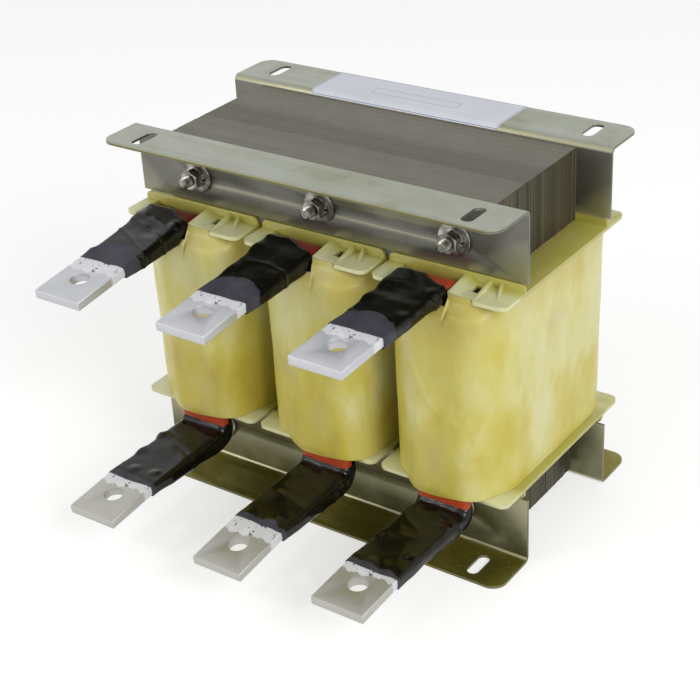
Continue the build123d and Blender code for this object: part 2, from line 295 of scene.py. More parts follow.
def backdrop_seen(tree):
    """1 where a ray comes from the camera, a mirror or clear glass, and 0 where it lights something."""
    path = add_node(tree, "LightPath")
    seen = add_node(tree, "Math", {
        "operation": "MAXIMUM", 0: path.outputs["Is Camera Ray"], 1: path.outputs["Is Glossy Ray"]})
    return add_node(tree, "Math", {"operation": "MAXIMUM", 0: seen, 1: path.outputs["Is Transmission Ray"]})


bpy.ops.mesh.primitive_plane_add(size=floor_size, location=(0, 0, 0))
floor = bpy.context.object
floor.name = "floor"
floor_paint, tree, shader = new_material("matt_white_studio_floor")
tree.nodes.remove(shader)
glow_level = add_node(tree, "Math", {"operation": "MULTIPLY", 0: backdrop_seen(tree), 1: floor_glow})
glow = add_node(tree, "Emission", {"Color": "#ffffff", "Strength": glow_level})
both = add_node(tree, "AddShader", {0: add_node(tree, "BsdfDiffuse", {"Color": "#dcdcdc"}), 1: glow})
set_up(tree.nodes["Material Output"], {"Surface": both})
floor.data.materials.append(floor_paint)

room = bpy.data.worlds.new("white_room")
scene.world = room
room.use_nodes = True
tree = room.node_tree
tree.nodes.clear()
level = add_node(tree, "MapRange", {"Value": backdrop_seen(tree), "To Min": room_level, "To Max": 1.0})
sky = add_node(tree, "Background", {"Color": "#ffffff", "Strength": level})
add_node(tree, "OutputWorld", {"Surface": sky})
print(f"floor {floor_size} m wide, room light {room_level}")


# %% Soft boxes
reactor_middle = Vector((0, 0, 0.1))


def soft_box(name, place, size, watts):
    """A square area lamp that points at the middle of the reactor."""
    bpy.ops.object.light_add(type="AREA", location=place)
    lamp = bpy.context.object
    lamp.name = name
    lamp.data.size = size
    lamp.data.energy = watts
    aim = reactor_middle - lamp.location
    lamp.rotation_euler = aim.to_track_quat("-Z", "Y").to_euler()


soft_box("key_lamp", (1.6, -0.6, 1.1), 1.0, 20)
soft_box("fill_lamp", (-1.2, -1.4, 0.6), 1.0, 9)
soft_box("glint_lamp", (-0.7, -1.2, 1.2), 0.1, 2)

# %% [markdown]
# ## Silicon steel laminations
# The core is a stack of punched electrical steel, 0.5 mm thick and 165 sheets deep, dipped in varnish after
# it was stacked. Cut edges of such sheet are dull and grey brown, and bundles of sheets sit a little proud
# of each other, so the top shows streaks and the end shows fine vertical lines. A block with a striped
# picture would look flat here. Each sheet is modelled, the E shapes and the straight ones that close them.

# %% Finish of the laminations
laminated_steel, tree, shader = new_material("varnished_silicon_steel_edges")
place = add_node(tree, "TexCoord").outputs["Object"]
along_axes = add_node(tree, "SeparateXYZ", {0: place})
facing = add_node(tree, "SeparateXYZ", {0: add_node(tree, "NewGeometry").outputs["Normal"]})
on_end = add_node(tree, "Math", {"operation": "ABSOLUTE", 0: facing.outputs["X"]})
# Steel from another coil lies in the middle of the stack and looks a little darker
half_stack = 41.25 * MM
band_place = add_node(tree, "MapRange", {
    "Value": along_axes.outputs["Y"], "From Min": -half_stack, "From Max": half_stack})
bands = add_node(tree, "ValToRGB", {
    "Fac": band_place, "stops": [(0.0, "#737165"), (0.36, "#706e62"), (0.39, "#625f54"), (0.61, "#646155"),
    (0.64, "#727064"), (1.0, "#757367")]})
# The punched ends are coloured darker and browner than the top
face_colour = add_node(tree, "Mix", {"data_type": "RGBA", 0: on_end, 6: bands, 7: "#544f3a"})
# Single sheets differ much on the ends, and hardly on top, where they were pressed flush
tone = add_node(tree, "Attribute", {"attribute_name": "sheet_tone"}).outputs["Fac"]
top_shade = add_node(tree, "MapRange", {"Value": tone, "To Min": 0.88, "To Max": 1.1})
end_shade = add_node(tree, "MapRange", {"Value": tone, "To Min": 0.22, "To Max": 1.35})
shade = add_node(tree, "Mix", {0: on_end, 2: top_shade, 3: end_shade})
sheet_colour = add_node(tree, "VectorMath", {"operation": "SCALE", 0: face_colour, "Scale": shade})
# Dust and dried varnish make the cut edges speckled, at about half a millimetre
speck_noise = add_node(tree, "TexNoise", {"Vector": place, "Scale": per_metre(0.9), "Detail": 3.0})
speck = add_node(tree, "MapRange", {"Value": speck_noise, "From Min": 0.6, "From Max": 0.8, "To Max": 0.6})
dusty = add_node(tree, "Mix", {"data_type": "RGBA", 0: speck, 6: sheet_colour, 7: "#9b927a"})
stain = add_node(tree, "TexNoise", {"Vector": place, "Scale": per_metre(12), "Detail": 4.0})
rough = add_node(tree, "MapRange", {"Value": stain, "To Min": 0.38, "To Max": 0.62})
set_up(shader, {"Base Color": dusty, "Roughness": rough, "Metallic": 0.25, "Specular IOR Level": 0.3})

# %% One E shaped sheet and one straight sheet
stack_low, stack_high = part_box("core_e_stack")
yoke_low, yoke_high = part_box("core_yoke_stack")
sheet_pitch = 0.5 * MM
sheet_count = round((stack_high.y - stack_low.y) / sheet_pitch)
varnish_gap = 0.04 * MM
sheet_thickness = sheet_pitch - varnish_gap
core_hole_radius = 4.1 * MM
hole_sides = 8
yoke_columns = 5
# How often a new bundle of sheets starts, and how far bundles and single sheets lie out of place
bundle_share = 0.22
bundle_error = (0.10, 0, 0.02)
sheet_error = (0.05, 0, 0.008)
bundle_tones = (0.25, 0.8)
tone_error = 0.14
limb_pitch = 80 * MM
limb_x = (-limb_pitch, 0.0, limb_pitch)
bolt_z = {}
for level in ("upper", "lower"):
    low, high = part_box(f"{level}_clamp_bolts")
    bolt_z[level] = (low.z + high.z) / 2


def flat_sheet(low, high, columns):
    """A standing strip of sheet at the front of the stack, in columns of equal width."""
    middle = (low + high) / 2
    bpy.ops.mesh.primitive_grid_add(x_subdivisions=columns, y_subdivisions=1, size=1,
                                    location=(middle.x, low.y, middle.z), rotation=(pi / 2, 0, 0))
    sheet = bpy.context.object
    sheet.scale = (high.x - low.x, high.z - low.z, 1)
    settle(sheet)
    return sheet


def small_error(draw, spread):
    """A random shift across, along and up, from a spread in millimetres."""
    return Vector((draw.gauss(0, spread[0]), 0, draw.gauss(0, spread[2]))) * MM


def stacked(sheet, level, seed):
    """Gives a sheet its thickness and bolt holes, and stacks it with small errors of place."""
    use_modifier(sheet, "SOLIDIFY", thickness=sheet_thickness, offset=-1)
    for x in limb_x:
        punch = rod(hole_sides, core_hole_radius, stack_low.y - 2 * sheet_pitch,
                    stack_low.y + 2 * sheet_pitch, bolt_z[level], x)
        cut_with(sheet, punch, "DIFFERENCE")
    corners = len(sheet.data.vertices)
    use_modifier(sheet, "ARRAY", count=sheet_count, use_relative_offset=False,
                 use_constant_offset=True, constant_offset_displace=(0, sheet_pitch, 0))
    draw = Random(seed)
    tones = []
    bundle_shift = Vector((0, 0, 0))
    bundle_tone = 0.5
    for number in range(sheet_count):
        if draw.random() < bundle_share:
            bundle_shift = small_error(draw, bundle_error)
            bundle_tone = draw.uniform(*bundle_tones)
        shift = bundle_shift + small_error(draw, sheet_error)
        tones += [min(1.0, max(0.0, bundle_tone + draw.gauss(0, tone_error)))] * corners
        for corner in range(number * corners, (number + 1) * corners):
            sheet.data.vertices[corner].co += shift
    keep_on_points(sheet, "sheet_tone", "FLOAT", tones)
    return sheet


limb_roots = stack_low.z + yoke_high.z - yoke_low.z
e_sheet = flat_sheet(stack_low, Vector((stack_high.x, stack_high.y, limb_roots)), yoke_columns)
open_edit(e_sheet)
picked = select_where("edges", lambda edge: abs(middle_of(edge).z - limb_roots) < MM
                      and min(abs(middle_of(edge).x - x) for x in limb_x) < MM)
print("limbs drawn up from the yoke:", picked)
bpy.ops.mesh.extrude_region_move(TRANSFORM_OT_translate={"value": (0, 0, stack_high.z - limb_roots)})
close_edit()
core_e_stack = stacked(e_sheet, "lower", seed=11)
hand_over(core_e_stack, "e_laminations", "core_e_stack", laminated_steel)
core_yoke_stack = stacked(flat_sheet(yoke_low, yoke_high, 1), "upper", seed=12)
hand_over(core_yoke_stack, "yoke_laminations", "core_yoke_stack", laminated_steel)

# %% [markdown]
# ## Zinc plated clamps
# Four angles folded from 1.5 mm sheet hold the core. They were zinc plated, then dipped with the coils, so
# an olive coat of varnish lies on them, with golden specks where it dried on the lower flanges, and it
# gathers along cut edges. Light and shade are painted into their colour too: the upper flanges lighter as if
# lit from above, the webs darker as painted shade, the lower flanges dark olive as painted shade and
# reflection of the yellow coils, and a painted highlight in the bend.
# The CAD outline is right, so a copy of it only gets the small rounded edge that a press leaves.

# %% Finish of the clamps
clamp_zinc, tree, shader = new_material("varnish_dipped_zinc_plate")
place = add_node(tree, "TexCoord").outputs["Object"]
along_axes = add_node(tree, "SeparateXYZ", {0: place})
facing = add_node(tree, "SeparateXYZ", {0: add_node(tree, "NewGeometry").outputs["Normal"]})
level_face = add_node(tree, "Math", {"operation": "ABSOLUTE", 0: facing.outputs["Z"]})
on_flange = add_node(tree, "MapRange", {"Value": level_face, "From Min": 0.55, "From Max": 0.98})
is_low = add_node(tree, "MapRange", {"Value": along_axes.outputs["Z"], "From Min": 0.12, "From Max": 0.1})
cloud = add_node(tree, "TexNoise", {
    "Vector": place, "Scale": per_metre(30), "Detail": 6.0, "Roughness": 0.6})
# Colours of the upper web and flange and of the lower web and flange, each from thin to thick varnish. Webs
# are darker as painted shade, upper flanges lighter as painted light from above, and the lower set dark
# olive as painted shade and reflection of the coils
upper_web, upper_flange, lower_web, lower_flange = (
    add_node(tree, "ValToRGB", {"Fac": cloud, "stops": film_colours})
    for film_colours in (
        [(0.3, "#75756c"), (0.55, "#696961"), (0.75, "#57564d")],
        [(0.3, "#a3a79b"), (0.55, "#9a9e8e"), (0.75, "#8d8f74")],
        [(0.3, "#84836a"), (0.55, "#67664a"), (0.75, "#525133")],
        [(0.3, "#88813a"), (0.55, "#77702a"), (0.75, "#676020")],
    )
)
# Picking the web or flange colour by the way a face points, and the lower set by height, paints the light
# and shade
upper = add_node(tree, "Mix", {"data_type": "RGBA", 0: on_flange, 6: upper_web, 7: upper_flange})
lower = add_node(tree, "Mix", {"data_type": "RGBA", 0: on_flange, 6: lower_web, 7: lower_flange})
film_and_painted_light = add_node(tree, "Mix", {"data_type": "RGBA", 0: is_low, 6: upper, 7: lower})
# Golden specks of dried varnish on the lower flanges, and a few dark ones everywhere
gold_noise = add_node(tree, "TexNoise", {"Vector": place, "Scale": per_metre(1.5), "Detail": 2.0})
gold_spot = add_node(tree, "MapRange", {"Value": gold_noise, "From Min": 0.63, "From Max": 0.72})
low_flange = add_node(tree, "Math", {"operation": "MULTIPLY", 0: is_low, 1: on_flange})
gold = add_node(tree, "Math", {"operation": "MULTIPLY", 0: gold_spot, 1: low_flange})
dark_spot = add_node(tree, "MapRange", {
    "Value": gold_noise, "From Min": 0.3, "From Max": 0.25, "To Max": 0.7})
# Varnish that gathered on the cut edge of a flange, and a painted highlight along the bend
from_middle = add_node(tree, "Math", {"operation": "ABSOLUTE", 0: along_axes.outputs["Y"]})
cut_edge = add_node(tree, "MapRange", {
    "Value": from_middle, "From Min": 71.5 * MM, "From Max": 72.1 * MM, "To Max": 0.85})
slope = add_node(tree, "Math", {"operation": "SUBTRACT", 0: 1.0, 1: level_face})
slope_peak = add_node(tree, "Math", {"operation": "MULTIPLY", 0: slope, 1: level_face})
painted_bend_highlight = add_node(tree, "MapRange", {
    "Value": slope_peak, "From Min": 0.1, "From Max": 0.24, "To Max": 0.7})
# The pale colour on sloping faces in the bend is a painted highlight; the specks and the edge varnish are
# real
for mask, colour in (
    (gold, "#b5a85a"), (dark_spot, "#3c3a2c"), (cut_edge, "#6a6738"), (painted_bend_highlight, "#b9b594"),
):
    film_and_painted_light = add_node(tree, "Mix", {"data_type": "RGBA", 0: mask, 6: film_and_painted_light, 7: colour})
rough = add_node(tree, "MapRange", {"Value": cloud, "To Min": 0.26, "To Max": 0.46})
set_up(shader, {"Base Color": film_and_painted_light, "Roughness": rough, "Metallic": 0.7})

# %% Pressed edges of the clamps
press_edge = 0.25 * MM
for clamp_name in ("upper_front_clamp", "upper_back_clamp", "lower_front_clamp", "lower_back_clamp"):
    clamp = cad_copy(clamp_name)
    round_edges(clamp, press_edge, 2, 40)
    smooth(clamp)
    hand_over(clamp, clamp_name + "_sheet", clamp_name, clamp_zinc)

# %% [markdown]
# ## Bolts, nuts and washers
# M6 bolts go through the yokes, with the heads behind and the tips in front. One of each piece is modelled
# at the middle limb and copied to the other two. The thread is a ridge with a flat crest, wound round the
# core of the bolt by the Screw modifier, because a bump cannot give the saw edge that a real thread shows.

# %% Finish of the fasteners
fastener_zinc, tree, shader = new_material("bright_zinc_plate")
place = add_node(tree, "TexCoord").outputs["Object"]
# Bright plate, dulled in spots and stained brown where varnish dried in the corners
cloud = add_node(tree, "TexNoise", {"Vector": place, "Scale": per_metre(5), "Detail": 5.0})
tint = add_node(tree, "ValToRGB", {
    "Fac": cloud, "stops": [(0.35, "#b3b3ad"), (0.55, "#85837a"), (0.72, "#5a5236")]})
rough = add_node(tree, "MapRange", {"Value": cloud, "To Min": 0.16, "To Max": 0.36})
set_up(shader, {"Base Color": tint, "Roughness": rough, "Metallic": 1.0})

# %% One bolt with its thread
bolt_radius = 3.0 * MM
thread_pitch = 1.0 * MM
thread_root = bolt_radius - 0.61 * thread_pitch
thread_foot = thread_root - 0.1 * MM
steps_per_turn = 24
round_sides = 32
tip_chamfer = 0.35 * MM
plain_behind_nut = 1.0 * MM
plain_play = 0.05 * MM
hex_flats = 10 * MM
hex_radius = hex_flats / sqrt(3)
# The lens that cuts a hexagon's chamfers: its play round the corners, its flat face and its slope
lens_radius = hex_radius * 1.01
lens_face = hex_flats / 2 * 0.97
lens_slope = (hex_radius - hex_flats / 2) * tan(radians(30)) * 1.6
# A thread's section: distance from the axis, and height in pitches, in the order of a plane's corners
thread_section = ((thread_foot, 0.02), (bolt_radius, 0.40), (thread_foot, 0.92), (bolt_radius, 0.54))


def one_ridge(turns):
    """The ridge of a thread along Z, faded out over its last turns."""
    bpy.ops.mesh.primitive_plane_add(size=1, location=(0, 0, 0))
    ridge = bpy.context.object
    for vertex, (reach, height) in zip(ridge.data.vertices, thread_section):
        vertex.co = (reach, 0, height * thread_pitch)
    use_modifier(ridge, "SCREW", axis="Z", steps=steps_per_turn, render_steps=steps_per_turn,
                 iterations=turns, screw_offset=thread_pitch, use_merge_vertices=False)
    for vertex in ridge.data.vertices:
        reach = sqrt(vertex.co.x ** 2 + vertex.co.y ** 2)
        left = (turns + 1) * thread_pitch - vertex.co.z
        fade = min(1.0, max(0.0, left / (1.5 * thread_pitch)))
        wanted = min(reach, thread_root + (bolt_radius - thread_root) * fade)
        vertex.co.x *= wanted / reach
        vertex.co.y *= wanted / reach
    return ridge


def one_bolt(level):
    """A hexagon head bolt along Y at the middle limb, head behind and threaded tip in front."""
    low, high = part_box(f"{level}_clamp_bolts")
    head_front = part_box(f"{level}_back_washers")[1].y
    z = bolt_z[level]
    shank = rod(round_sides, thread_root, low.y, high.y, z)
    open_edit(shank)
    select_where("faces", lambda face: face.normal.y < -0.9)
    bpy.ops.mesh.bevel(offset=tip_chamfer, segments=1, affect="EDGES")
    close_edit()
    head = rod(6, hex_radius, head_front, high.y, z)
    chamfer_hexagon(head, z)
    # The plain part of the shank fills the bore up to the nut
    plain_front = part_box(f"{level}_clamp_nuts")[0].y + plain_behind_nut
    plain = rod(round_sides, bolt_radius - plain_play, plain_front, head_front, z)
    ridge = one_ridge(ceil((plain_front - low.y) / thread_pitch) - 1)
    ridge.rotation_euler = (pi / 2, 0, 0)
    ridge.location = (0, plain_front, z)
    settle(ridge)
    open_edit(ridge)
    face_outwards()
    close_edit()
    return joined([shank, head, plain, ridge])


def chamfer_hexagon(piece, z):
    """Cuts a hexagon prism's corners to the 30 degree chamfer that a nut has on its faces."""
    front = min(v.co.y for v in piece.data.vertices)
    rear = max(v.co.y for v in piece.data.vertices)
    lens = rod(48, lens_radius, front + lens_slope, rear - lens_slope, z)
    open_edit(lens)
    for way in (-1, 1):
        select_where("faces", lambda face: face.normal.y * way > 0.9)
        bpy.ops.mesh.extrude_region_move(TRANSFORM_OT_translate={"value": (0, way * lens_slope, 0)})
        shrink = lens_face / lens_radius
        bpy.ops.transform.resize(value=(shrink, 1, shrink))
    close_edit()
    cut_with(piece, lens, "INTERSECT")


def on_each_limb(piece, crease, name, node_name):
    """Copies a fastener to the three limbs, each copy with its own mesh, and hands them over as one."""
    twins = []
    for x in limb_x:
        twin = piece.copy()
        twin.data = piece.data.copy()
        twin.location = piece.location + Vector((x, 0, 0))
        bpy.context.collection.objects.link(twin)
        twins.append(twin)
    bpy.data.objects.remove(piece)
    fasteners = joined(twins)
    settle(fasteners)
    smooth(fasteners, crease)
    hand_over(fasteners, name, node_name, fastener_zinc)


for level in ("upper", "lower"):
    on_each_limb(one_bolt(level), 30, f"{level}_bolts", f"{level}_clamp_bolts")


# %% Nuts
nut_edge = 0.12 * MM


def one_nut(level):
    """A hexagon nut with a bore, chamfered on both faces."""
    low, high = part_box(f"{level}_clamp_nuts")
    z = bolt_z[level]
    depth = high.y - low.y
    nut = rod(6, hex_radius, low.y, high.y, z)
    chamfer_hexagon(nut, z)
    cut_with(nut, rod(round_sides, bolt_radius, low.y - depth / 2, high.y + depth / 2, z), "DIFFERENCE")
    round_edges(nut, nut_edge, 2, 25)
    return nut


for level in ("upper", "lower"):
    on_each_limb(one_nut(level), 25, f"{level}_nuts", f"{level}_clamp_nuts")


# %% [markdown]
# A flat washer starts as a disc: its two faces are inset and bridged to make the bore. A spring washer is a
# small rectangle spun almost all the way round, so that its two cut ends face each other over a gap.

# %% Flat washers
bore_radius = 3.2 * MM
washer_edge = 0.2 * MM


def one_flat_washer(node_name, z):
    """A flat washer with rounded rims."""
    low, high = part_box(node_name)
    radius = (high.z - low.z) / 2
    washer = rod(64, radius, low.y, high.y, z)
    open_edit(washer)
    select_where("faces", lambda face: abs(face.normal.y) > 0.9)
    bpy.ops.mesh.inset(thickness=radius - bore_radius, use_individual=True)
    bpy.ops.mesh.bridge_edge_loops()
    close_edit()
    round_edges(washer, washer_edge, 3, 40)
    return washer


for level in ("upper", "lower"):
    for face in ("front", "back"):
        node_name = f"{level}_{face}_washers"
        washer = one_flat_washer(node_name, bolt_z[level])
        on_each_limb(washer, default_crease, f"{level}_{face}_flat_washers", node_name)


# %% Spring washers
spring_gap = 1.2 * MM
wire_edge = 0.12 * MM


def one_spring_washer(level):
    """A split ring of rectangular wire."""
    low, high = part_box(f"{level}_spring_washers")
    radius = (high.z - low.z) / 2
    z = bolt_z[level]
    middle = (low + high) / 2
    bpy.ops.mesh.primitive_plane_add(size=1, location=((radius + bore_radius) / 2, middle.y, z))
    ring = bpy.context.object
    ring.scale = (radius - bore_radius, high.y - low.y, 1)
    settle(ring)
    open_edit(ring)
    bpy.ops.mesh.select_all(action="SELECT")
    bpy.ops.mesh.spin(steps=48, angle=2 * pi - spring_gap / radius, center=(0, 0, z), axis=(0, 1, 0))
    face_outwards()
    close_edit()
    round_edges(ring, wire_edge, 2, 40)
    return ring


for level in ("upper", "lower"):
    ring = one_spring_washer(level)
    on_each_limb(ring, default_crease, f"{level}_split_washers", f"{level}_spring_washers")

# %% [markdown]
# ## Coil formers
# Each coil sits on a bobbin moulded in glass filled polyester, pale and a little translucent, under a
# glossy coat of dried varnish. The varnish is thicker and more yellow at the foot of the walls and round
# the gussets, and thin and whitish on the front rails. The mould gives every edge a small radius. The CAD
# copy gets that radius from a Bevel modifier, and the material lets some light in.

# %% Finish of the formers
former_plastic, tree, shader = new_material("varnished_glass_filled_polyester")
place = add_node(tree, "TexCoord").outputs["Object"]
along_axes = add_node(tree, "SeparateXYZ", {0: place})
cloud = add_node(tree, "TexNoise", {"Vector": place, "Scale": per_metre(14), "Detail": 5.0})
varnished = add_node(tree, "ValToRGB", {
    "Fac": cloud, "stops": [(0.3, "#d3d294"), (0.55, "#c4c06c"), (0.75, "#b0a845")]})
# The front rails and plates drained clean and look whitish
front = add_node(tree, "MapRange", {
    "Value": along_axes.outputs["Y"], "From Min": -44 * MM, "From Max": -54 * MM, "To Max": 0.75})
# Pools at the foot of the upright walls, uneven in width
from_middle = add_node(tree, "Math", {"operation": "ABSOLUTE", 0: along_axes.outputs["Y"]})
ragged = add_node(tree, "Math", {"operation": "MULTIPLY_ADD", 0: cloud, 1: 12 * MM, 2: from_middle})
pool = add_node(tree, "MapRange", {
    "Value": ragged, "From Min": 55 * MM, "From Max": 49 * MM, "To Max": 0.8})
for mask, colour in ((front, "#dadab0"), (pool, "#aba343")):
    varnished = add_node(tree, "Mix", {"data_type": "RGBA", 0: mask, 6: varnished, 7: colour})
grain = add_node(tree, "TexNoise", {"Vector": place, "Scale": per_metre(1.2), "Detail": 3.0})
bump = add_node(tree, "Bump", {"Height": grain, "Strength": 0.25, "Distance": 0.1 * MM})
set_up(shader, {
    "Base Color": varnished, "Normal": bump, "Roughness": 0.36, "Subsurface Weight": 0.25,
    "Subsurface Radius": (1.0, 0.9, 0.4), "Subsurface Scale": 1.5 * MM, "Coat Weight": 0.5,
    "Coat Roughness": 0.12})

# %% Moulded edges of the formers
phase_names = ("left", "middle", "right")
mould_radius = 0.35 * MM
upstand_height = 4.3 * MM
rib_fall = 2.3 * MM
rib_from_height = 2.5 * MM
rib_front = -50 * MM
for phase in phase_names:
    former = cad_copy(f"{phase}_coil_former")
    flange_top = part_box(f"{phase}_coil_former")[1].z - upstand_height
    for vertex in former.data.vertices:
        if vertex.co.z > flange_top + rib_from_height and vertex.co.y < rib_front:
            vertex.co.z -= rib_fall
    round_edges(former, mould_radius, 2, 50)
    smooth(former, 40)
    hand_over(former, f"{phase}_bobbin", f"{phase}_coil_former", former_plastic)

# %% [markdown]
# ## What lies inside
# The foil windings, the spacers over the limbs and the bushes round the bolts hardly show. Their CAD solids
# stay as they are. The foil shows its turns as fine bright lines on its ends, and the pressboard its fibre.

# %% Finishes of the inner pieces
foil, tree, shader = new_material("wound_aluminium_foil")
place = add_node(tree, "TexCoord").outputs["Object"]
turns = add_node(tree, "TexWave", {
    "Vector": place, "bands_direction": "Y", "Scale": per_metre(1.2) / 6.28, "Distortion": 0.4})
turn_colour = add_node(tree, "ValToRGB", {
    "stops": [(0.2, "#241f12"), (0.7, "#57503a")], "Fac": turns.outputs["Fac"]})
set_up(shader, {"Base Color": turn_colour, "Metallic": 0.8, "Roughness": 0.45})

pressboard, tree, shader = new_material("calendered_pressboard")
place = add_node(tree, "TexCoord").outputs["Object"]
fibre = add_node(tree, "TexNoise", {"Scale": per_metre(0.8), "Detail": 6.0, "Vector": place})
board_colour = add_node(tree, "ValToRGB", {"stops": [(0.3, "#8d7748"), (0.7, "#bfa872")], "Fac": fibre})
set_up(shader, {"Base Color": board_colour, "Roughness": 0.7})
for node_name, finish in (
    [(f"{phase}_foil_winding", foil) for phase in phase_names]
    + [(name, pressboard) for name in ("air_gap_spacers", "upper_bolt_bushes", "lower_bolt_bushes")]
):
    frame["nodes"][node_name].data.materials.clear()
    frame["nodes"][node_name].data.materials.append(finish)

# %% [markdown]
# ## Paper wraps
# A sheet of insulating paper is drawn tight round each coil and glued, then soaked in varnish. It follows
# the rounded rectangle of the winding and the lead that runs up its front, is drawn in a little towards the
# bottom, hangs over the edge of the lower flange in front, and closes over the rail of the upper one. A
# sheet of paper is a grid, so the wrap starts as a flat grid, and each of its points is then put round the
# coil: the first coordinate runs along the outline, the second runs up. Solidify gives it its thickness.


# %% Outlines made of round corners
def outline_points(circles, count):
    """Evenly spaced points and outward normals on the outline that a tight band round circles has."""
    cloud = []
    for centre, radius in circles:
        for step in range(180):
            angle = 2 * pi * step / 180
            cloud.append(centre + Vector((cos(angle), sin(angle))) * radius)
    ring = [cloud[i] for i in geometry.convex_hull_2d(cloud)]
    first = max(range(len(ring)), key=lambda i: ring[i].y + 0.001 * ring[i].x)
    ring = ring[first:] + ring[:first]
    lengths = [(ring[i] - ring[i - 1]).length for i in range(len(ring))]
    lengths = lengths[1:] + lengths[:1]
    perimeter = sum(lengths)
    points = []
    walked = 0.0
    target = 0.0
    for i in range(len(ring)):
        start = ring[i]
        end = ring[(i + 1) % len(ring)]
        while target <= walked + lengths[i] and len(points) < count:
            points.append(start.lerp(end, (target - walked) / lengths[i]))
            target += perimeter / count
        walked += lengths[i]
    normals = []
    for i in range(count):
        along = (points[(i + 1) % count] - points[i - 1]).normalized()
        normals.append(Vector((along.y, -along.x)))
    return points, normals


def rolled_sheet(around, along, place_of):
    """A grid of faces, each point placed by a function of its column and row, with its seam closed."""
    bpy.ops.mesh.primitive_grid_add(x_subdivisions=around, y_subdivisions=along, size=1)
    sheet = bpy.context.object
    for vertex in sheet.data.vertices:
        column = round((vertex.co.x + 0.5) * around)
        row = round((vertex.co.y + 0.5) * along)
        vertex.co = place_of(column, row)
    open_edit(sheet)
    bpy.ops.mesh.select_all(action="SELECT")
    bpy.ops.mesh.remove_doubles(threshold=0.01 * MM)
    face_outwards()
    close_edit()
    return sheet


def eased(value):
    """0 below 0, 1 above 1, and a soft step between."""
    share = min(1.0, max(0.0, value))
    return share * share * (3 - 2 * share)


# %% The leads' directions, which the notches in the paper follow
mounts = {mount["name"]: mount for mount in frame["record"]["mounts"]}


def lead_axes(phase, level):
    """Middle of the terminal hole, and the directions forward and up of a lead."""
    mount = mounts[f"{phase}_{level}_terminal_hole"]
    up = Vector(mount["axis"])
    if up.z < 0:
        up = -up
    return Vector(mount["pos_m"]), Vector((0, -up.z, up.y)), up


# %% Finish of the wraps
wrap_paper, tree, shader = new_material("varnish_soaked_insulating_paper")
place = add_node(tree, "TexCoord").outputs["Object"]
along_axes = add_node(tree, "SeparateXYZ", {0: place})
facing = add_node(tree, "SeparateXYZ", {0: add_node(tree, "NewGeometry").outputs["Normal"]})
# The varnish soaked in unevenly and ran down, so its clouds are drawn out in height
drawn_out = add_node(tree, "Mapping", {"Vector": place, "Scale": (1.0, 1.0, 0.55)})
soak = add_node(tree, "TexNoise", {
    "Vector": drawn_out, "Scale": per_metre(30), "Detail": 5.0, "Roughness": 0.55})
# It is deepest in the lower third, below a ragged line, and the front faces are painted deeper yellow as
# shade
low_line = add_node(tree, "Math", {
    "operation": "MULTIPLY_ADD", 0: soak, 1: -70 * MM, 2: along_axes.outputs["Z"]})
lower_third = add_node(tree, "MapRange", {
    "Value": low_line, "From Min": 62 * MM, "From Max": 36 * MM, "To Max": 0.14})
# Faces turned to the front get a deeper colour as painted shade
painted_front_shade = add_node(tree, "MapRange", {
    "Value": facing.outputs["Y"], "From Min": 0.0, "From Max": -1.0, "To Max": 0.12})
deeper = add_node(tree, "Math", {"operation": "ADD", 0: lower_third, 1: painted_front_shade})
wetness_and_front_shade = add_node(tree, "Math", {"operation": "ADD", 0: soak, 1: deeper})
paper = add_node(tree, "ValToRGB", {
    "Fac": wetness_and_front_shade, "stops": [(0.36, "#dfdca6"), (0.52, "#d9d28a"), (0.66, "#d0c565"), (0.8, "#c8b94c"),
    (0.95, "#bda93a")]})
# Painted shade under the upper plates, browned, and a dark line where the paper meets the flange
shade_line = add_node(tree, "Math", {
    "operation": "MULTIPLY_ADD", 0: soak, 1: 24 * MM, 2: along_axes.outputs["Z"]})
painted_shade_under_plate = add_node(tree, "MapRange", {
    "Value": shade_line, "From Min": 148 * MM, "From Max": 166 * MM, "To Max": 0.5})
top_edge = add_node(tree, "MapRange", {
    "Value": along_axes.outputs["Z"], "From Min": 154.1 * MM, "From Max": 154.5 * MM})
on_side = add_node(tree, "MapRange", {
    "Value": facing.outputs["X"], "From Min": 0.4, "From Max": 0.8, "To Max": 0.8})
dark_line = add_node(tree, "Math", {"operation": "MULTIPLY", 0: top_edge, 1: on_side})
# Greyish blots of a few centimetres, as wet paper has, and a fine fibre
blot = add_node(tree, "TexNoise", {"Vector": place, "Scale": per_metre(46), "Detail": 3.0})
blotted = add_node(tree, "MapRange", {"Value": blot, "From Min": 0.58, "From Max": 0.72, "To Max": 0.45})
# The first colour is the painted shade under the plates
for mask, colour in ((painted_shade_under_plate, "#bdab5c"), (dark_line, "#4a3b16"), (blotted, "#b9b07c")):
    paper = add_node(tree, "Mix", {"data_type": "RGBA", 0: mask, 6: paper, 7: colour})
fibre = add_node(tree, "TexNoise", {"Vector": place, "Scale": per_metre(2.5), "Detail": 4.0})
bump = add_node(tree, "Bump", {"Height": fibre, "Strength": 0.2, "Distance": 0.15 * MM})
set_up(shader, {
    "Base Color": paper, "Normal": bump, "Roughness": 0.42, "Specular IOR Level": 0.35,
    "Subsurface Weight": 0.12, "Subsurface Radius": (1.0, 0.85, 0.3), "Subsurface Scale": 1.5 * MM,
    "Coat Weight": 0.2, "Coat Roughness": 0.25})

# %% Three wraps
wrap_columns = 240
wrap_rows = 72
paper_thickness = 0.5 * MM
paper_play = 0.6 * MM
drawn_in = 2.0 * MM
winding_corner = 21.0 * MM
lead_corner = 17.0 * MM
lead_half_front = 10.5 * MM
lead_cover = 0.3 * MM
fade_start = 146.5 * MM
fade_end = 154.5 * MM
overhang = 3.0 * MM
side_play = 2.3 * MM
front_strip = 12 * MM
notch_play = 0.4 * MM
under_lead = 4.2 * MM
plate_width = 18.6 * MM
